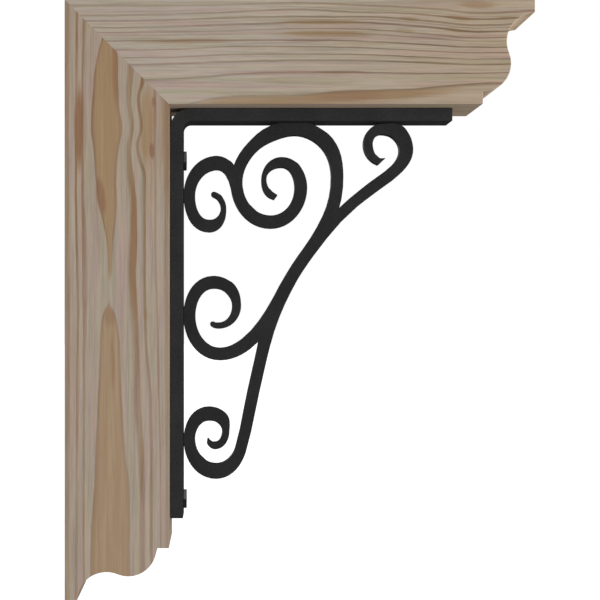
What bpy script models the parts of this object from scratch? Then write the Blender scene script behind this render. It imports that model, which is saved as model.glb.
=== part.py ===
"""Timber corner bracket: two mitred square members with moulded ends, a bent iron strap in their
inside corner, a scrolled iron panel inside the strap, and two hex-head lag screws.

Metres, +Z up. The origin is the middle of the face that goes against the wall. +X runs out from the
wall along the arm, and Y runs across the width. Shapes are drawn in the XZ plane, in millimetres,
and extruded along Y.
"""

import math

import bmesh
import bpy
from mathutils import Matrix, Vector

MM = 0.001
GAP = 0.3  # between pieces that touch

# Timber: square members, nominal 4 x 4 dressed to 3 1/2 in
TIMBER = 88.9
HEIGHT = 512.0
REACH = 401.0
TOP = HEIGHT / 2
BOTTOM = -HEIGHT / 2
UNDERSIDE = TOP - TIMBER

# Moulded end, measured across the member from its outer face and back from its far end
COVE_CENTRE = (35.6, -1.0)
COVE_RADIUS = 25.0
LISTEL = 10.6
LISTEL_DEPTH = 44.4

# Strap: one flat bar bent to a right angle
STRAP_THICKNESS = 11.1
STRAP_WIDTH = 38.1
STRAP_FOOT = -189.7
STRAP_END = 334.4
BEND_RADIUS = 17.5
STRAP_BACK = TIMBER + GAP
STRAP_FACE = STRAP_BACK + STRAP_THICKNESS
STRAP_TOP = UNDERSIDE - GAP
STRAP_SOFFIT = STRAP_TOP - STRAP_THICKNESS

# Scrollwork
SCROLL_THICKNESS = 12.0
CURVE_STEP = 7.5  # degrees of turn between two points of a bar
ARC_STEP = 9.0

# Screws
SCREW_HEIGHTS = {"upper_screw": 122.4, "lower_screw": -174.9}
SCREW_TURNS = {"upper_screw": 12.0, "lower_screw": -4.0}
HEAD_ACROSS_FLATS = 15.9
HEAD_THICKNESS = 2.5
SHANK_RADIUS = 4.0
SHANK_IN_TIMBER = 45.0

# Stations along each scroll bar: x, z, direction in degrees counting whole turns, bar width.
# The long bar climbs from the bottom volute to the volute under the arm's end.
LONG_BAR = (
    (122.0, -122.0, -80, 1.5),
    (123.0, -125.5, -55, 4.0),
    (128.0, -128.0, 0, 6.0),
    (137.5, -115.5, 89, 6.5),
    (134.0, -104.0, 136, 11.0),
    (122.5, -100.0, 181, 12.0),
    (105.5, -123.0, 271, 10.0),
    (129.0, -150.5, 360, 13.0),
    (150.5, -131.5, 433, 10.0),
    (162.0, -79.5, 437, 10.5),
    (168.0, -53.0, 437, 10.5),
    (179.0, -13.0, 428, 12.0),
    (196.0, 21.0, 419, 11.0),
    (210.5, 42.5, 413, 11.0),
    (249.5, 85.5, 399, 10.0),
    (266.0, 98.5, 397, 10.5),
    (287.5, 115.0, 405, 10.5),
    (296.0, 132.5, 453, 12.0),
    (289.0, 147.0, 500, 13.0),
    (274.5, 150.0, 539, 9.0),
    (262.5, 136.0, 633, 8.0),
    (272.5, 121.5, 702, 6.0),
)
# The second bar climbs from the middle volute, joins the first, and turns over into the large volute.
SECOND_BAR = (
    (126.5, -21.5, -34, 5.0),
    (131.5, -22.5, 1, 5.5),
    (147.0, -4.5, 92, 8.0),
    (141.5, 9.5, 134, 10.5),
    (126.0, 15.5, 183, 11.5),
    (105.5, -14.0, 270, 10.5),
    (132.5, -47.5, 360, 11.0),
    (155.5, -38.5, 398, 11.5),
    (178.0, -12.0, 418, 12.0),
    (196.0, 21.0, 419, 11.0),
    (210.5, 42.5, 414, 11.0),
    (228.0, 72.0, 425, 11.0),
    (235.5, 108.5, 451, 10.5),
    (226.5, 137.5, 491, 12.5),
    (197.5, 151.0, 541, 12.5),
    (178.0, 146.5, 562, 13.0),
    (160.0, 133.5, 587, 10.5),
    (147.0, 101.0, 633, 10.5),
    (176.5, 68.5, 719, 11.5),
    (203.5, 98.0, 809, 11.0),
    (186.5, 121.0, 900, 9.0),
    (171.0, 106.0, 989, 4.5),
    (177.0, 92.5, 1047, 6.0),
    (181.5, 90.0, 1044, 5.0),
)
# The short bar makes the small volute beside the large one and dies into its flank.
SHORT_BAR = (
    (127.5, 92.5, -20, 5.0),
    (135.5, 80.5, -88, 5.0),
    (122.5, 65.0, -182, 11.0),
    (105.5, 92.5, -271, 10.0),
    (128.0, 120.5, -354, 12.0),
    (142.0, 113.0, -416, 11.0),
    (148.5, 92.0, -438, 10.5),
)
ROUND_TIP = 3.0  # how far a rounded tip runs past its station
BEAK_TIP = (4.2, 4.6)  # along the bar and to its left, for the volute under the arm's end


def clear_scene():
    for obj in list(bpy.data.objects):
        bpy.data.objects.remove(obj)


def new_collection(name):
    collection = bpy.data.collections.new(name)
    bpy.context.scene.collection.children.link(collection)
    return collection


def material(name, colour, roughness, metallic):
    made = bpy.data.materials.new(name)
    made.use_nodes = True
    shader = made.node_tree.nodes["Principled BSDF"]
    shader.inputs["Base Color"].default_value = (*colour, 1.0)
    shader.inputs["Roughness"].default_value = roughness
    shader.inputs["Metallic"].default_value = metallic
    return made


def arc(centre, radius, start, end, step=ARC_STEP):
    """Points on a circle from one angle to another, in degrees, both ends included."""
    count = max(2, math.ceil(abs(end - start) / step))
    angles = [math.radians(start + (end - start) * i / count) for i in range(count + 1)]
    return [(centre[0] + radius * math.cos(a), centre[1] + radius * math.sin(a)) for a in angles]


def bearing(origin, target):
    return math.degrees(math.atan2(target[1] - origin[1], target[0] - origin[0]))


def moulded_end():
    """An ogee from the inner face to the outer face, as (across, back from the end).

    A convex lobe runs tangent into a hollow cove, with a square fillet at each side of the pair.
    """
    across = TIMBER - LISTEL - COVE_CENTRE[0]
    back = LISTEL_DEPTH - COVE_CENTRE[1]
    lobe_radius = (across**2 + back**2 - COVE_RADIUS**2) / (2 * (across + COVE_RADIUS))
    lobe_centre = (TIMBER - LISTEL - lobe_radius, LISTEL_DEPTH)
    nose_edge = (COVE_CENTRE[0] - math.sqrt(COVE_RADIUS**2 - COVE_CENTRE[1] ** 2), 0)
    meeting = bearing(lobe_centre, COVE_CENTRE)
    lobe = arc(lobe_centre, lobe_radius, 0, meeting)
    cove = arc(COVE_CENTRE, COVE_RADIUS, meeting + 180, bearing(COVE_CENTRE, nose_edge) % 360)
    return [(TIMBER, LISTEL_DEPTH), *lobe, *cove[1:], (0, 0)]


def plate(name, outline, thickness, collection, finish):
    """A flat outline in XZ, in millimetres, extruded evenly to both sides of Y, as one closed mesh."""
    curve = bpy.data.curves.new(name, "CURVE")
    curve.dimensions = "2D"
    curve.fill_mode = "BOTH"
    curve.extrude = thickness / 2 * MM
    spline = curve.splines.new("POLY")
    spline.points.add(len(outline) - 1)
    for point, (x, z) in zip(spline.points, outline):
        point.co = (x * MM, z * MM, 0, 1)
    spline.use_cyclic_u = True
    drawn = bpy.data.objects.new(name + "_outline", curve)
    drawn.rotation_euler = (math.radians(90), 0, 0)
    collection.objects.link(drawn)
    bpy.context.view_layer.update()
    mesh = bpy.data.meshes.new_from_object(drawn.evaluated_get(bpy.context.evaluated_depsgraph_get()))
    turned = drawn.matrix_world.copy()
    bpy.data.objects.remove(drawn)
    weld(mesh)
    mesh.name = name
    mesh.materials.clear()
    mesh.materials.append(finish)
    solid = bpy.data.objects.new(name, mesh)
    solid.matrix_world = turned
    collection.objects.link(solid)
    return solid


def weld(mesh, distance=0.00001):
    shape = bmesh.new()
    shape.from_mesh(mesh)
    bmesh.ops.remove_doubles(shape, verts=shape.verts, dist=distance)
    bmesh.ops.recalc_face_normals(shape, faces=shape.faces)
    shape.to_mesh(mesh)
    shape.free()


def box(name, low, high, collection):
    """A box between two corners, in millimetres."""
    shape = bmesh.new()
    bmesh.ops.create_cube(shape, size=1.0)
    size = [(b - a) * MM for a, b in zip(low, high)]
    middle = [(a + b) / 2 * MM for a, b in zip(low, high)]
    bmesh.ops.scale(shape, vec=size, verts=shape.verts)
    bmesh.ops.translate(shape, vec=middle, verts=shape.verts)
    return object_from(shape, name, collection)


def cylinder_along_x(name, start, end, z, radius, collection, sides=24, turn=0.0):
    """A closed cylinder or prism along X, in millimetres. Turn 0 has a corner towards -Y."""
    shape = bmesh.new()
    round_size = radius * MM
    bmesh.ops.create_cone(
        shape,
        cap_ends=True,
        segments=sides,
        radius1=round_size,
        radius2=round_size,
        depth=(end - start) * MM,
    )
    upright_to_x = Matrix.Rotation(math.radians(90), 4, "Y")
    about_x = Matrix.Rotation(math.radians(turn), 4, "X")
    bmesh.ops.transform(shape, matrix=about_x @ upright_to_x, verts=shape.verts)
    bmesh.ops.translate(shape, vec=Vector(((start + end) / 2, 0, z)) * MM, verts=shape.verts)
    return object_from(shape, name, collection)


def object_from(shape, name, collection):
    mesh = bpy.data.meshes.new(name)
    shape.to_mesh(mesh)
    shape.free()
    made = bpy.data.objects.new(name, mesh)
    collection.objects.link(made)
    return made


def combine(target, other, operation):
    """A Boolean of target with other, which is kept as a hidden guide."""
    modifier = target.modifiers.new(other.name, "BOOLEAN")
    modifier.operation = operation
    modifier.object = other
    other.hide_render = True
    other.display_type = "WIRE"


def drill(target, collection):
    """A clearance hole through target for each screw's shank."""
    for name, height in SCREW_HEIGHTS.items():
        cutter = cylinder_along_x(
            f"{target.name}_{name}_hole",
            STRAP_BACK - SHANK_IN_TIMBER - GAP,
            STRAP_FACE + HEAD_THICKNESS,
            height,
            SHANK_RADIUS + GAP,
            collection,
        )
        combine(target, cutter, "DIFFERENCE")


def wall_post(parts, cutters, timber):
    """The upright member: mitred at the top, moulded at its foot."""
    mitre_drop = GAP * math.sqrt(2)
    outline = [(0, TOP - mitre_drop), (TIMBER, UNDERSIDE - mitre_drop)]
    outline += [(across, BOTTOM + back) for across, back in moulded_end()]
    post = plate("wall_post", outline, TIMBER, parts, timber)
    drill(post, cutters)
    return post


def top_arm(parts, timber):
    """The level member: the same moulding, turned over the mitre."""
    outline = [(0, TOP), (TIMBER, UNDERSIDE)]
    outline += [(REACH - back, TOP - across) for across, back in moulded_end()]
    return plate("top_arm", outline, TIMBER, parts, timber)


def strap(parts, cutters, iron):
    """The bent bar, with its outer bend clear of the timbers' inside corner."""
    bend = (STRAP_BACK + BEND_RADIUS, STRAP_TOP - BEND_RADIUS)
    outer = arc(bend, BEND_RADIUS, 180, 90)
    inner = arc(bend, BEND_RADIUS - STRAP_THICKNESS, 90, 180)
    ends_of_arm = [(STRAP_END, STRAP_TOP), (STRAP_END, STRAP_SOFFIT)]
    ends_of_leg = [(STRAP_FACE, STRAP_FOOT), (STRAP_BACK, STRAP_FOOT)]
    made = plate("iron_strap", outer + ends_of_arm + inner + ends_of_leg, STRAP_WIDTH, parts, iron)
    drill(made, cutters)
    return made


def smooth(t):
    return t * t * (3 - 2 * t)


def bar_points(stations):
    """Points along a bar as (position, direction, width): cubic arcs through its stations."""
    found = []
    for (x0, z0, turn0, w0), (x1, z1, turn1, w1) in zip(stations, stations[1:]):
        start, end = Vector((x0, z0)), Vector((x1, z1))
        angle = math.radians(turn1 - turn0)
        pull = (end - start).length / (3 * math.cos(angle / 4) ** 2)
        near = start + pull * direction(turn0)
        far = end - pull * direction(turn1)
        count = max(3, math.ceil(abs(turn1 - turn0) / CURVE_STEP))
        for i in range(count):
            t = i / count
            u = 1 - t
            place = u**3 * start + 3 * u * u * t * near + 3 * u * t * t * far + t**3 * end
            slope = u * u * (near - start) + 2 * u * t * (far - near) + t * t * (end - far)
            found.append((place, slope.normalized(), w0 + (w1 - w0) * smooth(t)))
    x, z, turn, width = stations[-1]
    found.append((Vector((x, z)), direction(turn), width))
    return found


def direction(degrees):
    return Vector((math.cos(math.radians(degrees)), math.sin(math.radians(degrees))))


def left_of(along):
    return Vector((-along.y, along.x))


def round_tip(place, along, width):
    """A rounded end, from the bar's right side to its left."""
    angles = [math.radians(a) for a in (-60, -30, 0, 30, 60)]
    side = left_of(along) * width / 2
    return [place + side * math.sin(a) + along * ROUND_TIP * math.cos(a) for a in angles]


def beak_tip(place, along, width):
    """A pointed end that leans to the bar's left."""
    return [place + along * BEAK_TIP[0] + left_of(along) * BEAK_TIP[1]]


def square_tip(place, along, width):
    return []


def bar_outline(stations, start_tip, end_tip):
    """The closed outline of a bar, with a tip at each end."""
    points = bar_points(stations)
    left = [place + left_of(along) * width / 2 for place, along, width in points]
    right = [place - left_of(along) * width / 2 for place, along, width in points]
    place, along, width = points[0]
    start = start_tip(place, -along, width)
    outline = start + right + end_tip(*points[-1]) + left[::-1]
    return [tuple(point) for point in outline]


def scrollwork(parts, cutters, iron):
    """Three bars welded into one panel, flat where it meets the strap."""
    long_bar = bar_outline(LONG_BAR, square_tip, beak_tip)
    second_bar = bar_outline(SECOND_BAR, round_tip, square_tip)
    short_bar = bar_outline(SHORT_BAR, round_tip, round_tip)
    panel = plate("iron_scrollwork", long_bar, SCROLL_THICKNESS, parts, iron)
    combine(panel, plate("second_bar", second_bar, SCROLL_THICKNESS, cutters, iron), "UNION")
    combine(panel, plate("short_bar", short_bar, SCROLL_THICKNESS, cutters, iron), "UNION")
    inside_strap = box(
        "inside_strap",
        (STRAP_FACE + GAP, -STRAP_WIDTH, BOTTOM),
        (REACH, STRAP_WIDTH, STRAP_SOFFIT - GAP),
        cutters,
    )
    combine(panel, inside_strap, "INTERSECT")
    return panel


def screw(name, parts, cutters, steel):
    """A hex head on the strap's face and a shank through it into the post."""
    height = SCREW_HEIGHTS[name]
    seat = STRAP_FACE + GAP
    head = cylinder_along_x(
        name,
        seat,
        seat + HEAD_THICKNESS,
        height,
        HEAD_ACROSS_FLATS / math.sqrt(3),
        parts,
        sides=6,
        turn=SCREW_TURNS[name],
    )
    shank = cylinder_along_x(
        name + "_shank",
        STRAP_BACK - SHANK_IN_TIMBER,
        seat + HEAD_THICKNESS / 2,
        height,
        SHANK_RADIUS,
        cutters,
    )
    combine(head, shank, "UNION")
    head.data.materials.append(steel)
    return head


def shade(obj):
    obj.data.shade_smooth()
    obj.data.set_sharp_from_angle(angle=math.radians(25))


def build():
    clear_scene()
    parts = new_collection("timber_bracket")
    cutters = new_collection("cutters")
    pale_fir = (0.376, 0.296, 0.223)
    black = (0.027, 0.027, 0.027)
    pieces = [
        wall_post(parts, cutters, material("post_fir", pale_fir, 0.65, 0.0)),
        top_arm(parts, material("arm_fir", pale_fir, 0.65, 0.0)),
        strap(parts, cutters, material("strap_black_coat", black, 0.55, 0.0)),
        scrollwork(parts, cutters, material("scroll_black_coat", black, 0.55, 0.0)),
    ]
    screw_finish = material("screw_black_coat", black, 0.45, 0.0)
    pieces += [screw(name, parts, cutters, screw_finish) for name in SCREW_HEIGHTS]
    for piece in pieces:
        shade(piece)


build()
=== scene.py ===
# A square-timber bracket braced by black scrolled ironwork, dressed for rendering.

import dataclasses
import functools
import math
from typing import Callable

import bmesh
import bpy
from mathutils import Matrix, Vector


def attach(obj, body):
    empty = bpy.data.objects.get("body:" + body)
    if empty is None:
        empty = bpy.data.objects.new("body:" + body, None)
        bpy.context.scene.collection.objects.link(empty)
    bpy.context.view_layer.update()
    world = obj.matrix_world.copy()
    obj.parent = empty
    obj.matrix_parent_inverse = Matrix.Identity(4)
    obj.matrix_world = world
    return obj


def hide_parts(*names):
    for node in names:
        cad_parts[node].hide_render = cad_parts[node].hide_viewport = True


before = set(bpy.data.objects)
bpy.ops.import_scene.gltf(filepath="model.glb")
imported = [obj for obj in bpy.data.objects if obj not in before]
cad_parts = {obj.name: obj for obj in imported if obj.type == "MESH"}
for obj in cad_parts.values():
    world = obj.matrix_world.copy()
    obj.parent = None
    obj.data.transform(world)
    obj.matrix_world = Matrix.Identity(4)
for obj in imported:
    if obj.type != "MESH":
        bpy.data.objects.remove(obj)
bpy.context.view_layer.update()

# A millimetre in metres, the timber's width and where its front face lies, in millimetres
MM = 0.001
TIMBER = 88.9
FRONT = -TIMBER / 2

# The way straight across the mitre, and how closely a face has to look that way
MITRE_ACROSS = Vector((1, 0, 1)).normalized()
SAME_WAY = 0.999

# How far the end face of the post's copy is raised to close the mitre, in millimetres
MITRE_CLOSING = 0.39

# How far edges are eased, in millimetres, and in how many steps
ARRIS = 0.5
IRON_EASE = 0.55
HEAD_EASE = 0.2
EASE_STEPS = 3

# The turn between two faces that makes an edge to be eased, that shades as a sharp one, and
# below which they are one face. Corners closer than the weld, in metres, are one corner
EDGE_ANGLE = math.radians(32)
SMOOTH_ANGLE = math.radians(35)
FLAT_ANGLE = math.radians(0.4)
WELD = 0.00002

# The part of 0 to 1 that a noise texture mostly keeps to
LOW, HIGH = 0.3, 0.7


# Small helpers for node trees


def put(tree, kind, inputs=(), **settings):
    """Adds a node. Its inputs are values, or other nodes' outputs to be linked."""
    node = tree.nodes.new(kind)
    for name, value in settings.items():
        setattr(node, name, value)
    for name, value in dict(inputs).items():
        if isinstance(value, bpy.types.NodeSocket):
            tree.links.new(value, node.inputs[name])
        else:
            node.inputs[name].default_value = value
    return node


def calc(tree, operation, *values, clamp=False):
    node = put(tree, "ShaderNodeMath", dict(enumerate(values)), operation=operation, use_clamp=clamp)
    return node.outputs[0]


def total(tree, values):
    """The sum of several sockets."""
    result = values[0]
    for value in values[1:]:
        result = calc(tree, "ADD", result, value)
    return result


def remap(tree, value, low, high, to_low=0.0, to_high=1.0, smooth=False):
    kind = "SMOOTHSTEP" if smooth else "LINEAR"
    ends = {0: value, 1: low, 2: high, 3: to_low, 4: to_high}
    return put(tree, "ShaderNodeMapRange", ends, interpolation_type=kind).outputs[0]


def swing(tree, value, size):
    """Noise of 0 to 1 as a value that swings by half of size either way."""
    return calc(tree, "MULTIPLY", calc(tree, "SUBTRACT", value, 0.5), size)


def mixed(tree, factor, first, second):
    """Mixes two numbers."""
    return put(tree, "ShaderNodeMix", {0: factor, 2: first, 3: second}, data_type="FLOAT").outputs[0]


def blend(tree, factor, first, second, kind="MIX"):
    """Mixes two colours."""
    node = put(tree, "ShaderNodeMix", data_type="RGBA", blend_type=kind)
    for place, value in ((0, factor), (6, first), (7, second)):
        if isinstance(value, bpy.types.NodeSocket):
            tree.links.new(value, node.inputs[place])
        else:
            node.inputs[place].default_value = value
    return node.outputs[2]


def noise(tree, vector, scale=1.0, detail=3.0, roughness=0.5):
    inputs = {"Vector": vector, "Scale": scale, "Detail": detail, "Roughness": roughness}
    return put(tree, "ShaderNodeTexNoise", inputs).outputs[0]


def in_millimetres(tree, places):
    scale = {0: places, 1: (1 / MM,) * 3}
    return put(tree, "ShaderNodeVectorMath", scale, operation="MULTIPLY").outputs[0]


def drawn_out(tree, places, axis, along, across, shift=0.0, detail=2.0, roughness=0.5):
    """Noise drawn out along one axis. along and across are its scales per millimetre."""
    scales = [across] * 3
    scales[axis] = along
    inputs = {"Vector": places, "Scale": scales, "Location": (shift, shift * 0.7, shift * 1.3)}
    vector = put(tree, "ShaderNodeMapping", inputs).outputs[0]
    return noise(tree, vector, detail=detail, roughness=roughness)


def new_material(name):
    """A material whose node tree is empty."""
    material = bpy.data.materials.new(name)
    material.use_nodes = True
    material.node_tree.nodes.clear()
    return material


def skin(tree, colour, roughness, height, strength, distance, shine):
    """The shader and the output that a piece's material ends in. height makes its bump."""
    inputs = {"Height": height, "Strength": strength, "Distance": distance}
    bump = put(tree, "ShaderNodeBump", inputs).outputs[0]
    shader = put(
        tree, "ShaderNodeBsdfPrincipled",
        {"Base Color": colour, "Roughness": roughness, "Normal": bump, "Specular IOR Level": shine},
    )
    put(tree, "ShaderNodeOutputMaterial", {"Surface": shader.outputs[0]})


def ramp(tree, value, stops):
    """A colour ramp. A stop is its place and a grey value or a colour."""
    node = put(tree, "ShaderNodeValToRGB", {0: value})
    elements = node.color_ramp.elements
    for number, (place, shade) in enumerate(stops):
        element = elements[number] if number < 2 else elements.new(place)
        element.position = place
        element.color = shade if isinstance(shade, tuple) else (shade, shade, shade, 1)
    return node.outputs[0]


def display(red, green, blue):
    """A linear colour from display values of 0 to 255."""
    def linear(value):
        value /= 255
        return value / 12.92 if value <= 0.04045 else ((value + 0.055) / 1.055) ** 2.4

    return linear(red), linear(green), linear(blue), 1.0


# Wood: growth rings as a solid field round the pith

# Colours: earlywood, the tan of flat-cut bands, a line's dark and the red of resin
POST_SHADES = (
    display(168, 153, 138), display(160, 133, 101), display(134, 102, 70), display(138, 99, 74),
)
ARM_SHADES = (
    display(175, 163, 149), display(154, 130, 101), display(117, 98, 76), display(147, 111, 86),
)
ROSE = display(171, 147, 137)
SAGE = display(163, 153, 130)
WARM = (0.92, 0.84, 0.72, 1.0)
COOL_DRIFT = (0.982, 1.0, 1.035, 1.0)
WARM_DRIFT = (1.018, 1.0, 0.965, 1.0)
END_GRAIN = display(214, 190, 160)

# The hue noise at which earlywood is plain, at which it is as rosy or as grey-green as it
# gets, and how much of that colour it has then
PLAIN_HUE = 0.5
ROSY_HUE = 0.64
SAGE_HUE = 0.37
HUE_SHARE = 0.75

# How squarely a face has to look along the timber to start and to end turning into end
# grain, and how much of that colour it has then
END_TURN = (0.8, 0.98)
END_SHARE = 0.65

# Noise drawn out along the timber: what bends the rings, makes the lines weak and strong,
# lays the fibres and shifts the colour
WANDER = {"along": 0.022, "across": 0.03}
RIPPLE = {"along": 0.06, "across": 0.35, "shift": 31}
FORCE = {"along": 0.016, "across": 0.16, "shift": 57, "detail": 3}
CORE_BEND = {"along": 0.010, "across": 0.012, "shift": 83}
COARSE = {"along": 0.010, "across": 0.34, "shift": 11, "detail": 4, "roughness": 0.62}
FINE = {"along": 0.035, "across": 1.5, "shift": 23, "detail": 4, "roughness": 0.7}
FLECKS = {"along": 0.14, "across": 2.2, "shift": 47}
HUE = {"along": 0.007, "across": 0.17, "shift": 5, "detail": 3}
DRIFT = {"along": 0.02, "across": 0.55, "shift": 71}

# How far the rings are bent: on the front face in millimetres, near the pith in rings
WANDER_SIZE = 1.1
RIPPLE_SIZE = 0.9
CORE_BEND_SIZE = 3.0
CORE_UNEVEN_SIZE = 1.4

# How far the coarse and the fine fibres swing the brightness, how much of that is left
# in tan wood, how far the coarse ones swing the tan, and how dark a fleck is
COARSE_BRIGHT = 0.62
FINE_BRIGHT = 0.70
TAN_CALM = 0.5
COARSE_TAN = 0.35
FLECK_DARK = 0.14

# The sawn and sanded surface: its roughness, how much it mirrors, and its relief in metres
WOOD_ROUGH = 0.66
WOOD_SHINE = 0.22
WOOD_RELIEF = 0.00018

# A hidden ring from its outer edge inwards, as stops of line and of tan strength
CORE_LINE = ((0.0, 0.62), (0.08, 0.55), (0.18, 0.1), (0.3, 0.0), (0.96, 0.0), (1.0, 0.62))
CORE_TAN = ((0.0, 0.7), (0.2, 0.6), (0.5, 0.1), (0.9, 0.0), (1.0, 0.3))

# How soft the edge of a flat-cut band is, in steps between guides
FLAT_EDGE = 0.08

# The window that the guides' places across are measured in, in millimetres, how many grain
# lines one colour ramp holds, and how far a line may fade on the side of the bark, in steps
GRAIN_SPAN = 110
RAMP_LINES = 7
BARK_FADE = 0.05

# A line of latewood: its place between guides, its strength, how far it fades
# towards the pith, and its half-width, in steps of the guides
POST_LINES = (
    (0.00, 0.60, 0.14, 0.08),
    (1.07, 0.80, 0.16, 0.12),
    (2.00, 0.85, 0.12, 0.07),
    (3.00, 0.90, 0.10, 0.02),
    (4.00, 0.75, 0.10, 0.02),
    (5.00, 0.62, 0.14, 0.18),
    (6.00, 0.78, 0.13, 0.09),
    (7.00, 0.60, 0.12, 0.06),
    (8.00, 0.50, 0.14, 0.08),
)
ARM_LINES = (
    (1.00, 0.80, 0.06, 0.02),
    (2.00, 0.80, 0.07, 0.03),
    (3.00, 0.78, 0.08, 0.04),
    (3.46, 0.78, 0.05, 0.03),
    (4.00, 0.85, 0.06, 0.03),
    (5.00, 0.85, 0.08, 0.06),
    (5.62, 0.55, 0.06, 0.03),
    (6.00, 0.78, 0.08, 0.04),
    (7.00, 0.80, 0.13, 0.10),
    (7.55, 0.45, 0.10, 0.04),
    (8.00, 0.75, 0.16, 0.11),
    (9.00, 0.75, 0.14, 0.10),
    (9.40, 0.35, 0.06, 0.03),
    (10.00, 0.60, 0.10, 0.05),
    (10.70, 0.45, 0.12, 0.06),
)

# Guides: grain lines followed along the timber, as places along it and across it
# in millimetres. The post's run up its height, from its wall side to its iron side
POST_GUIDES = (
    ((-256, 3.5), (256, 3.0)),
    ((-256, 9.0), (-100, 10), (0, 10.8), (100, 9.2), (256, 10)),
    ((-256, 16.3), (0, 15.8), (120, 14.8), (256, 16)),
    (
        (-256, 21.4), (-205, 22.3), (-162, 25.4), (-111, 27.2), (-60, 29.8), (-25.6, 31),
        (-8, 34.5), (-3, 37.2), (19, 38.2), (51, 36.4), (66.6, 33.0), (85, 29.0), (102, 27.0),
        (126, 25.2), (147, 22.9), (179, 24.6), (196, 26), (207, 28), (222, 32), (256, 40),
    ),
    (
        (-256, 56), (-205, 55.5), (-162, 55), (-128, 51.4), (-85, 48.6), (-25.6, 45.3),
        (-8, 41), (-3, 38.4), (19, 39.4), (51, 41), (66.6, 42.8), (85, 44), (102, 43.6),
        (126, 45.3), (147, 48.7), (162, 46.6), (183, 45.4), (205, 45), (215, 43.6), (256, 40),
    ),
    (
        (-256, 67), (-171, 66.6), (-128, 66.2), (-85, 62.6), (-25.6, 61.9), (26, 59),
        (55, 60.4), (85, 59.6), (102, 57.2), (128, 55.2), (147, 57.6), (171, 55.0),
        (200, 57.3), (256, 58),
    ),
    (
        (-256, 74.4), (-85, 73.8), (-60, 71.4), (-25.6, 68.8), (26, 68.3), (102, 68.6),
        (120, 64.1), (132, 62), (147, 65.3), (171, 62.8), (186, 66), (256, 70),
    ),
    ((-256, 82.4), (-111, 81.4), (-85, 80.6), (-20, 79.6), (51, 77.4), (171, 77.3), (256, 77.3)),
    ((-256, 86.4), (256, 86.4)),
)

# The arm's run out along it, from its underside to its top
ARM_GUIDES = (
    ((0, 152), (400, 154)),
    (
        (0, 157.2), (94, 163.7), (106, 166.6), (129, 172.1), (145, 173.8), (201, 175.1),
        (239, 178.2), (296, 179.8), (339, 183.7), (362, 185.2), (400, 183.7),
    ),
    ((0, 186.2), (68, 187.9), (115, 190.1), (150, 193.1), (227, 194.6), (303, 193.1), (400, 194.2)),
    ((0, 199.2), (98, 201.6), (150, 203.3), (226, 204.4), (303, 202.5), (354, 200.7), (400, 201.2)),
    ((0, 212.7), (98, 214.2), (150, 216.1), (252, 215.1), (303, 212.7), (354, 211), (400, 211)),
    ((0, 220.7), (150, 221.2), (226, 221), (252, 220.4), (303, 217.8), (354, 215.4), (400, 215.8)),
    ((0, 228.1), (98, 228.7), (226, 231.5), (252, 231.1), (303, 227.2), (354, 223.8), (400, 225.2)),
    (
        (0, 232.2), (73, 232.3), (150, 234.9), (226, 237),
        (252, 236.6), (303, 233.2), (354, 228.9), (400, 230.2),
    ),
    ((0, 238.2), (73, 238.3), (150, 240.9), (252, 241.7), (303, 238.3), (354, 234.5), (400, 236.2)),
    ((0, 242.2), (98, 243.4), (201, 247.7), (252, 245.2), (303, 243.4), (354, 239.6), (400, 241.2)),
    ((0, 251.2), (115, 251.1), (201, 253.3), (252, 251.1), (320, 247.3), (354, 244.3), (400, 246.2)),
    ((0, 262), (400, 262)),
)

# Tan patches that widen a line for a stretch: the place between guides, the place
# along, their two radii, and the strength
POST_TANS = (
    (5.02, 40, 0.26, 150, 0.55),
    (6.50, 150, 0.55, 42, 0.85),
    (6.42, 98, 0.50, 45, 0.30),
    (6.05, -13, 0.20, 8, 0.70),
    (1.55, 146, 0.60, 50, 0.60),
    (0.40, -60, 0.60, 130, 0.20),
)
ARM_TANS = (
    (4.90, 108, 0.42, 60, 0.60),
    (7.05, 218, 0.55, 50, 0.90),
    (5.56, 222, 0.34, 52, 0.90),
    (8.05, 294, 0.42, 12, 0.80),
    (6.20, 290, 0.30, 11, 0.60),
    (9.00, 336, 0.45, 16, 0.75),
    (7.00, 334, 0.36, 16, 0.75),
    (0.86, 272, 0.22, 85, 0.75),
    (10.90, 300, 0.60, 70, 0.60),
    (10.40, 352, 0.24, 24, 0.45),
    (9.10, 377, 0.32, 10, 0.75),
)

# Where the lines die away, in the same terms: between the tips of the post's two figures
POST_GAPS = ((3.50, 7, 1.6, 20, 1.0),)

# Reddish stretches, in the same terms
POST_REDS = (
    (1.55, 147, 0.90, 44, 0.85),
    (5.00, 45, 0.30, 75, 0.60),
    (3.14, 88, 0.34, 20, 0.65),
    (3.90, 205, 0.20, 50, 0.55),
    (3.50, -10, 0.60, 16, 0.40),
    (3.62, -52, 0.16, 30, 0.35),
    (5.05, -150, 0.25, 40, 0.30),
    (8.00, 150, 0.45, 90, 0.45),
    (6.90, 169, 0.15, 6, 0.60),
    (6.80, 127, 0.19, 9, 0.70),
    (7.50, 150, 0.42, 60, 0.20),
    (6.02, 186, 0.25, 8, 0.60),
)
ARM_REDS = (
    (4.98, 108, 0.25, 42, 0.30),
    (2.00, 240, 0.14, 30, 0.50),
    (9.00, 338, 0.35, 20, 0.45),
    (7.00, 338, 0.25, 18, 0.45),
    (0.84, 244, 0.24, 36, 0.50),
    (10.40, 352, 0.20, 16, 0.35),
)


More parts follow.
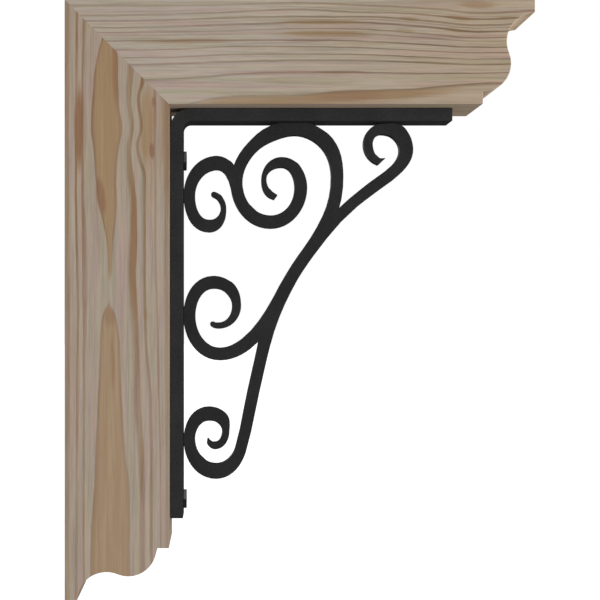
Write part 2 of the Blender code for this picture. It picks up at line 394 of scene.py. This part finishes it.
@dataclasses.dataclass
class Timber:
    """How one timber is grained. Places are in millimetres; steps go from guide to guide."""

    name: str
    axes: tuple  # the numbers of the axes along and across it
    ends: tuple  # where the guides start and stop along it
    origin: float  # where the guides' window starts across it
    heart: tuple  # the pith's place across it, and its depth behind the front face
    guides: tuple
    lines: tuple
    gaps: tuple
    tans: tuple
    reds: tuple
    flat: tuple  # the steps between which a ring lies nearly flat in the front face
    pith_step: float  # the step that the pith stands behind
    flat_strength: Callable  # how strong that flat figure is, along the timber
    ring_width: float
    shades: tuple
    vigour: tuple  # two places along it, and the strength of the lines at each
    warmth: tuple  # the same for the warm tint


def guide_curve(tree, timber, way, points):
    """How far across a guide lies, from 0 to 1, at a place from 0 to 1 along."""
    start, stop = timber.ends
    node = put(tree, "ShaderNodeFloatCurve", {"Value": way})
    curve = node.mapping.curves[0]
    for number, (along, across) in enumerate(points):
        place = ((along - start) / (stop - start), (across - timber.origin) / GRAIN_SPAN)
        point = curve.points[number] if number < 2 else curve.points.new(*place)
        point.location = place
        point.handle_type = "AUTO_CLAMPED"
    node.mapping.update()
    return node.outputs[0]


def guide_steps(tree, timber, along, share):
    """Turns a share of the guides' window into even steps from one grain line to the next."""
    way = remap(tree, along, *timber.ends)
    curves = [guide_curve(tree, timber, way, points) for points in timber.guides]
    return total(tree, [remap(tree, share, low, high) for low, high in zip(curves, curves[1:])])


def line_stops(line, pith_step, count):
    """A line's stops on a ramp: it fades slowly towards the pith and ends sharply at the bark."""
    at, strength, fade, half = line
    edge = min(half, BARK_FADE)
    near, far = (fade, edge) if at > pith_step else (edge, fade)
    marks = ((-half - near, 0.0), (-half, strength), (half, strength), (half + far, 0.0))
    return [((at + mark) / count, shade) for mark, shade in marks]


def line_shades(tree, timber, step):
    """The strength of the latewood lines at a step."""
    count = len(timber.guides) - 1
    place = calc(tree, "DIVIDE", step, count)
    parts = []
    for first in range(0, len(timber.lines), RAMP_LINES):
        stops = []
        for line in timber.lines[first : first + RAMP_LINES]:
            stops += line_stops(line, timber.pith_step, count)
        parts.append(ramp(tree, place, [stop for stop in stops if 0 <= stop[0] <= 1]))
    return total(tree, parts)


def patches(tree, step, along, spots):
    """The summed strength of soft oval patches that follow the grain."""
    parts = []
    for at, middle, width, length, strength in spots:
        across_off = calc(tree, "DIVIDE", calc(tree, "SUBTRACT", step, at), width)
        along_off = calc(tree, "DIVIDE", calc(tree, "SUBTRACT", along, middle), length)
        offset = put(tree, "ShaderNodeCombineXYZ", {0: across_off, 1: along_off}).outputs[0]
        far = put(tree, "ShaderNodeVectorMath", {0: offset}, operation="LENGTH").outputs[1]
        parts.append(remap(tree, far, 1.0, 0.45, 0.0, strength, smooth=True))
    return total(tree, parts)


def front_place(tree, timber, across, depth):
    """Where the ring through a point comes to the front face, as a share of the guides'
    window, and a socket that is 1 where the ring never comes there, and otherwise 0."""
    pith, pith_depth = timber.heart
    off = calc(tree, "SUBTRACT", across, pith)
    chord = calc(tree, "MULTIPLY", depth, calc(tree, "SUBTRACT", 2 * pith_depth, depth))
    square = calc(tree, "SUBTRACT", calc(tree, "MULTIPLY", off, off), chord)
    front = calc(tree, "SQRT", calc(tree, "MAXIMUM", square, 0.0))
    front = calc(tree, "MULTIPLY", front, calc(tree, "SIGN", off))
    share = calc(tree, "DIVIDE", calc(tree, "ADD", front, pith - timber.origin), GRAIN_SPAN)
    return share, calc(tree, "LESS_THAN", square, 0.0)


def face_line(tree, timber, texture, along, step):
    """The lines of rings that reach the front face, strong and weak along their length."""
    force = remap(tree, texture(**FORCE), LOW, HIGH, 0.7, 1.15)
    force = calc(tree, "MULTIPLY", force, remap(tree, along, *timber.vigour))
    line = calc(tree, "MULTIPLY", line_shades(tree, timber, step), force)
    if timber.gaps:
        left = calc(tree, "SUBTRACT", 1.0, patches(tree, step, along, timber.gaps))
        line = calc(tree, "MULTIPLY", line, left)
    return line


def face_tan(tree, timber, along, step):
    """The tan of flat-cut wood and of the patches on the front face."""
    first, last = timber.flat
    rise = remap(tree, step, first, first + FLAT_EDGE)
    fall = remap(tree, step, last, last - FLAT_EDGE)
    band = calc(tree, "MULTIPLY", rise, fall)
    band = calc(tree, "MULTIPLY", band, timber.flat_strength(tree, along))
    return calc(tree, "ADD", band, patches(tree, step, along, timber.tans), clamp=True)


def core_rings(tree, timber, texture, across, depth):
    """The line and the tan of rings nearer the pith, each dark at its outer edge."""
    pith, pith_depth = timber.heart
    off = calc(tree, "SUBTRACT", across, pith)
    reach = calc(tree, "SUBTRACT", depth, pith_depth)
    square = calc(tree, "ADD", calc(tree, "MULTIPLY", off, off), calc(tree, "MULTIPLY", reach, reach))
    radius = calc(tree, "SQRT", square)
    ring = calc(tree, "DIVIDE", calc(tree, "SUBTRACT", pith_depth, radius), timber.ring_width)
    ring = calc(tree, "ADD", ring, calc(tree, "MULTIPLY", texture(**CORE_BEND), CORE_BEND_SIZE))
    inputs = {"W": ring, "Scale": 0.45, "Detail": 1.0}
    uneven = put(tree, "ShaderNodeTexNoise", inputs, noise_dimensions="1D").outputs[0]
    ring = calc(tree, "ADD", ring, calc(tree, "MULTIPLY", uneven, CORE_UNEVEN_SIZE))
    inputs = {"W": calc(tree, "FLOOR", ring)}
    year = put(tree, "ShaderNodeTexWhiteNoise", inputs, noise_dimensions="1D").outputs[0]
    year = remap(tree, year, 0, 1, 0.6, 1.1)
    age = calc(tree, "FRACT", ring)
    line = calc(tree, "MULTIPLY", ramp(tree, age, CORE_LINE), year)
    tan = calc(tree, "MULTIPLY", ramp(tree, age, CORE_TAN), year)
    return line, tan


def earlywood(tree, texture, shade):
    """Earlywood drifts between rosy and grey-green, and between cool and warm."""
    hue = texture(**HUE)
    colour = blend(tree, remap(tree, hue, PLAIN_HUE, ROSY_HUE, 0.0, HUE_SHARE), shade, ROSE)
    colour = blend(tree, remap(tree, hue, PLAIN_HUE, SAGE_HUE, 0.0, HUE_SHARE), colour, SAGE)
    drift = blend(tree, remap(tree, texture(**DRIFT), 0.32, 0.68), COOL_DRIFT, WARM_DRIFT)
    return blend(tree, 1.0, colour, drift, kind="MULTIPLY")


def wood_colour(tree, timber, texture, along, marks, fibres):
    """Tan, red and the lines over the earlywood, and then what the fibres make of it."""
    early_shade, tan_shade, line_shade, red_shade = timber.shades
    line, tan, red = marks
    coarse, fine, fleck = fibres
    tan = calc(tree, "MULTIPLY", tan, remap(tree, coarse, LOW, HIGH, 1.25, 0.75), clamp=True)
    tan = calc(tree, "ADD", tan, swing(tree, coarse, COARSE_TAN), clamp=True)
    dark = calc(tree, "ADD", line, calc(tree, "MULTIPLY", fleck, FLECK_DARK), clamp=True)
    colour = blend(tree, tan, earlywood(tree, texture, early_shade), tan_shade)
    colour = blend(tree, red, colour, red_shade)
    colour = blend(tree, dark, colour, line_shade)
    colour = blend(tree, remap(tree, along, *timber.warmth), colour, WARM, kind="MULTIPLY")
    bright = total(tree, [swing(tree, coarse, COARSE_BRIGHT), swing(tree, fine, FINE_BRIGHT)])
    bright = calc(tree, "MULTIPLY", bright, remap(tree, tan, 0.0, 1.0, 1.0, TAN_CALM))
    inputs = {0: colour, 3: calc(tree, "ADD", bright, 1.0)}
    return put(tree, "ShaderNodeVectorMath", inputs, operation="SCALE").outputs[0]


def over_end_grain(tree, colour, normal, axis):
    """End grain drinks the light."""
    facing = put(tree, "ShaderNodeSeparateXYZ", {0: normal}).outputs[axis]
    facing = calc(tree, "ABSOLUTE", facing)
    endwise = remap(tree, facing, *END_TURN, 0.0, END_SHARE, smooth=True)
    return blend(tree, endwise, colour, END_GRAIN, kind="MULTIPLY")


def wood_skin(tree, colour, line, fibres):
    """A sawn and sanded surface, with the latewood a little proud and smoother."""
    coarse, fine, fleck = fibres
    height = total(tree, [
        calc(tree, "MULTIPLY", line, 0.35),
        calc(tree, "MULTIPLY", fine, 0.6),
        calc(tree, "MULTIPLY", fleck, -0.25),
    ])
    rough = total(tree, [
        calc(tree, "MULTIPLY", line, -0.10), swing(tree, fine, 0.14), swing(tree, coarse, 0.10),
    ])
    rough = calc(tree, "ADD", rough, WOOD_ROUGH)
    skin(tree, colour, rough, height, strength=0.45, distance=WOOD_RELIEF, shine=WOOD_SHINE)


def wood(timber):
    """A fir material, solid through the whole timber."""
    material = new_material(timber.name)
    tree = material.node_tree
    surface = put(tree, "ShaderNodeTexCoord")
    places = in_millimetres(tree, surface.outputs["Object"])
    split = put(tree, "ShaderNodeSeparateXYZ", {0: places})
    along_axis, across_axis = timber.axes
    texture = functools.partial(drawn_out, tree, places, along_axis)

    # A point's place, with the rings bent a little
    along = split.outputs[along_axis]
    depth = calc(tree, "SUBTRACT", split.outputs[1], FRONT)
    wander = swing(tree, texture(**WANDER), WANDER_SIZE)
    ripple = swing(tree, texture(**RIPPLE), RIPPLE_SIZE)
    across = total(tree, [split.outputs[across_axis], wander, ripple])

    # What the ring through it looks like: from the front face's grain, or from the core's
    share, inside = front_place(tree, timber, across, depth)
    step = guide_steps(tree, timber, along, share)
    core_line, core_tan = core_rings(tree, timber, texture, across, depth)
    line = mixed(tree, inside, face_line(tree, timber, texture, along, step), core_line)
    tan = mixed(tree, inside, face_tan(tree, timber, along, step), core_tan)
    outside = calc(tree, "SUBTRACT", 1.0, inside)
    red = calc(tree, "MULTIPLY", patches(tree, step, along, timber.reds), outside, clamp=True)

    # Fibres: long coarse streaks, fine ones, and short dark flecks
    fleck = remap(tree, texture(**FLECKS), 0.64, 0.76, smooth=True)
    fibres = (texture(**COARSE), texture(**FINE), fleck)

    colour = wood_colour(tree, timber, texture, along, (line, tan, red), fibres)
    colour = over_end_grain(tree, colour, surface.outputs["Normal"], along_axis)
    wood_skin(tree, colour, line, fibres)
    return material


def lens_stretch(tree, along):
    """The post's two flat figures: strong above, fainter below, with a gap between their tips."""
    above = remap(tree, along, 12, 26)
    below = remap(tree, along, -2, -10, 0.0, 0.80)
    return calc(tree, "ADD", above, below)


def underside_stretch(tree, along):
    """The arm's low flat figure is strongest in mid length and fades outwards."""
    inner = remap(tree, along, 100, 130)
    outer = remap(tree, along, 310, 205, 0.10, 0.95)
    return calc(tree, "MULTIPLY", inner, outer)


# Iron: a matt black coat, with what faces up painted paler: dust, and on the screw heads painted top
# light

# The pale grey that upward faces are painted towards: dust, and painted top light on the screw heads
DUST_AND_TOP_LIGHT = (0.17, 0.17, 0.165, 1.0)

# How far the coat's grey swings either side of its level, how far its roughness does, how
# much it mirrors, and its relief in metres
COAT_SWING = 0.55
ROUGH_SWING = 0.06
COAT_SHINE = 0.12
COAT_RELIEF = 0.00006


def black_coat(name, level, rough, grain, dust_and_top_light):
    """A near-black matt coat. level is its grey, grain the strength of its texture, and
    dust_and_top_light how far what faces up is painted paler: a little dust on the strap and
    scrollwork, and on the screw heads mostly painted top light."""
    material = new_material(name)
    tree = material.node_tree
    surface = put(tree, "ShaderNodeTexCoord")
    places = in_millimetres(tree, surface.outputs["Object"])
    peel = noise(tree, places, scale=0.75, detail=4, roughness=0.65)
    grit = noise(tree, places, scale=4.5, detail=2)
    cloud = noise(tree, places, scale=0.035, detail=3)
    tone = total(tree, [
        calc(tree, "MULTIPLY", cloud, 0.3),
        calc(tree, "MULTIPLY", grit, 0.2),
        calc(tree, "MULTIPLY", peel, 0.5),
    ])
    dark = tuple(part * (1 - COAT_SWING) for part in level) + (1.0,)
    pale = tuple(part * (1 + COAT_SWING) for part in level) + (1.0,)
    colour = ramp(tree, tone, ((LOW, dark), (HIGH, pale)))
    up = put(tree, "ShaderNodeSeparateXYZ", {0: surface.outputs["Normal"]}).outputs[2]
    # Upward faces painted paler: dust, and where the share is large, painted top light
    colour = blend(tree, remap(tree, up, 0.2, 0.4, 0.0, dust_and_top_light, smooth=True), colour, DUST_AND_TOP_LIGHT)
    height = calc(tree, "ADD", peel, calc(tree, "MULTIPLY", grit, 0.5))
    roughness = remap(tree, tone, LOW, HIGH, rough - ROUGH_SWING, rough + ROUGH_SWING)
    skin(tree, colour, roughness, height, strength=grain, distance=COAT_RELIEF, shine=COAT_SHINE)
    return material


# Pieces: each CAD solid with its edges eased


def on_mitre(face):
    return abs(face.normal.dot(MITRE_ACROSS)) > SAME_WAY


def eased_mesh(node_name, piece_name):
    """A CAD node's skin with its edges marked for rounding, save at the mitre, where the
    post's end face is raised to close the joint."""
    solid = bmesh.new()
    solid.from_mesh(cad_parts[node_name].data)
    bmesh.ops.remove_doubles(solid, verts=solid.verts, dist=WELD)
    bmesh.ops.dissolve_limit(solid, angle_limit=FLAT_ANGLE, verts=solid.verts, edges=solid.edges)
    weights = solid.edges.layers.float.new("bevel_weight_edge")
    for edge in solid.edges:
        at_mitre = any(on_mitre(face) for face in edge.link_faces)
        edge[weights] = 1.0 if edge.calc_face_angle(0) > EDGE_ANGLE and not at_mitre else 0.0
    for face in [face for face in solid.faces if on_mitre(face) and face.normal.z > 0]:
        bmesh.ops.translate(solid, verts=face.verts, vec=Vector((0, 0, MITRE_CLOSING * MM)))
    mesh = bpy.data.meshes.new(piece_name)
    solid.to_mesh(mesh)
    solid.free()
    if "custom_normal" in mesh.attributes:
        mesh.attributes.remove(mesh.attributes["custom_normal"])
    return mesh


def eased(node_name, piece_name, width, material):
    """The piece that stands in for a CAD node, with rounded edges."""
    mesh = eased_mesh(node_name, piece_name)
    mesh.materials.clear()
    mesh.materials.append(material)
    mesh.shade_smooth()
    mesh.set_sharp_from_angle(angle=SMOOTH_ANGLE)
    piece = bpy.data.objects.new(piece_name, mesh)
    bpy.context.scene.collection.objects.link(piece)
    bevel = piece.modifiers.new("Ease", "BEVEL")
    bevel.width = width * MM
    bevel.segments = EASE_STEPS
    bevel.limit_method = "WEIGHT"
    bevel.harden_normals = True
    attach(piece, "root")
    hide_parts(node_name)


post_fir = wood(Timber(
    "post_fir", axes=(2, 0), ends=(-256, 256), origin=-5, heart=(38, 100),
    guides=POST_GUIDES, lines=POST_LINES, gaps=POST_GAPS, tans=POST_TANS, reds=POST_REDS,
    flat=(3.0, 4.0), pith_step=3.5, flat_strength=lens_stretch, ring_width=2.9,
    shades=POST_SHADES, vigour=(-180, 90, 0.68, 0.95), warmth=(20, 256, 0.0, 0.32),
))
arm_fir = wood(Timber(
    "arm_fir", axes=(0, 2), ends=(0, 400), origin=152, heart=(148, 105),
    guides=ARM_GUIDES, lines=ARM_LINES, gaps=(), tans=ARM_TANS, reds=ARM_REDS,
    flat=(0.0, 1.0), pith_step=0.0, flat_strength=underside_stretch, ring_width=3.4,
    shades=ARM_SHADES, vigour=(110, 300, 0.62, 1.05), warmth=(130, 340, 0.0, 0.75),
))
strap_coat = black_coat("strap_coat", (0.0232, 0.0234, 0.0240), rough=0.6, grain=0.35, dust_and_top_light=0.1)
scroll_coat = black_coat("scroll_coat", (0.0188, 0.0190, 0.0192), rough=0.6, grain=0.35, dust_and_top_light=0.05)
# The screw heads' upward facets are painted pale: painted top light, as if lit from above
screw_coat = black_coat("screw_coat", (0.0170, 0.0170, 0.0173), rough=0.42, grain=0.2, dust_and_top_light=0.8)

eased("wall_post", "post_timber", ARRIS, post_fir)
eased("top_arm", "arm_timber", ARRIS, arm_fir)
eased("iron_strap", "strap_bar", IRON_EASE, strap_coat)
eased("iron_scrollwork", "scroll_bars", IRON_EASE, scroll_coat)
eased("upper_screw", "upper_screw_head", HEAD_EASE, screw_coat)
eased("lower_screw", "lower_screw_head", HEAD_EASE, screw_coat)


# Floor, light and camera

# The floor's height and half-width in metres, its grey, its roughness and its own glow
FLOOR_LEVEL = -0.9
FLOOR_REACH = 30
FLOOR_GREY = 0.9
FLOOR_ROUGH = 0.9
FLOOR_GLOW = 0.6

# The arm's carved end, in metres
PANEL_AIM = Vector((0.39, 0.0, 0.2))

# The camera's place and its near and far limits in metres, its lens and sensor in
# millimetres, and its sideways shift as a share of the sensor's width
CAMERA_PLACE = (0.132, -1.35945, 0.0)
CAMERA_CLIP = (0.05, 60)
CAMERA_LENS = 92.58
CAMERA_SENSOR = 36
CAMERA_SHIFT = 0.1342

# The light from all round, and how much of it shows in a mirroring surface
AMBIENT = 0.43
MIRRORED = 0.06


def pale_floor():
    """A plain white floor well below the bracket."""
    material = bpy.data.materials.new("floor_white")
    material.use_nodes = True
    inputs = material.node_tree.nodes["Principled BSDF"].inputs
    inputs["Base Color"].default_value = (FLOOR_GREY, FLOOR_GREY, FLOOR_GREY, 1)
    inputs["Roughness"].default_value = FLOOR_ROUGH
    inputs["Emission Color"].default_value = (1, 1, 1, 1)
    inputs["Emission Strength"].default_value = FLOOR_GLOW
    mesh = bpy.data.meshes.new("floor")
    plan = bmesh.new()
    bmesh.ops.create_grid(plan, x_segments=8, y_segments=8, size=FLOOR_REACH)
    plan.to_mesh(mesh)
    plan.free()
    mesh.materials.append(material)
    floor = bpy.data.objects.new("floor", mesh)
    floor.location = (0, 0, FLOOR_LEVEL)
    floor.visible_diffuse = False
    floor.visible_glossy = False
    floor.visible_shadow = False
    bpy.context.scene.collection.objects.link(floor)


def studio_world():
    """Even light from all round, in front of plain white, with little of it mirrored."""
    world = bpy.data.worlds.new("studio")
    world.use_nodes = True
    tree = world.node_tree
    tree.nodes.clear()
    ray = put(tree, "ShaderNodeLightPath").outputs
    strength = remap(tree, ray["Is Glossy Ray"], 0, 1, AMBIENT, MIRRORED)
    strength = mixed(tree, ray["Is Camera Ray"], strength, 1.0)
    light = put(tree, "ShaderNodeBackground", {"Color": (1, 1, 1, 1), "Strength": strength})
    put(tree, "ShaderNodeOutputWorld", {"Surface": light.outputs[0]})
    bpy.context.scene.world = world


def soft_sun(name, towards, strength, spread):
    """A broad distant lamp. towards points from the bracket to it; spread is in degrees."""
    lamp = bpy.data.lights.new(name, "SUN")
    lamp.energy = strength
    lamp.angle = math.radians(spread)
    item = bpy.data.objects.new(name, lamp)
    item.rotation_euler = Vector(towards).to_track_quat("Z", "Y").to_euler()
    bpy.context.scene.collection.objects.link(item)


def soft_panel(name, place, watts, size):
    """A square lamp near the bracket, aimed at the arm's carved end."""
    lamp = bpy.data.lights.new(name, "AREA")
    lamp.energy = watts
    lamp.size = size
    item = bpy.data.objects.new(name, lamp)
    item.location = place
    item.rotation_euler = (Vector(place) - PANEL_AIM).to_track_quat("Z", "Y").to_euler()
    bpy.context.scene.collection.objects.link(item)


def camera():
    """Stands where the photograph was taken, level and square to the front face."""
    data = bpy.data.cameras.new("camera")
    data.lens = CAMERA_LENS
    data.sensor_width = CAMERA_SENSOR
    data.shift_x = CAMERA_SHIFT
    data.clip_start, data.clip_end = CAMERA_CLIP
    item = bpy.data.objects.new("camera", data)
    item.location = CAMERA_PLACE
    item.rotation_euler = (math.radians(90), 0, 0)
    bpy.context.scene.collection.objects.link(item)
    bpy.context.scene.camera = item


pale_floor()
studio_world()
soft_sun("key", towards=(0.32, -0.93, -0.20), strength=1.35, spread=30)
soft_sun("under", towards=(0.70, -0.25, -0.55), strength=0.70, spread=50)
soft_panel("side", place=(0.75, -0.07, 0.20), watts=1.6, size=0.16)
soft_sun("top", towards=(0.15, -0.15, 1.0), strength=0.3, spread=40)
soft_sun("back_fill", towards=(-0.7, 0.7, 0.25), strength=1.7, spread=40)
camera()
bpy.context.scene.view_settings.view_transform = "Standard"
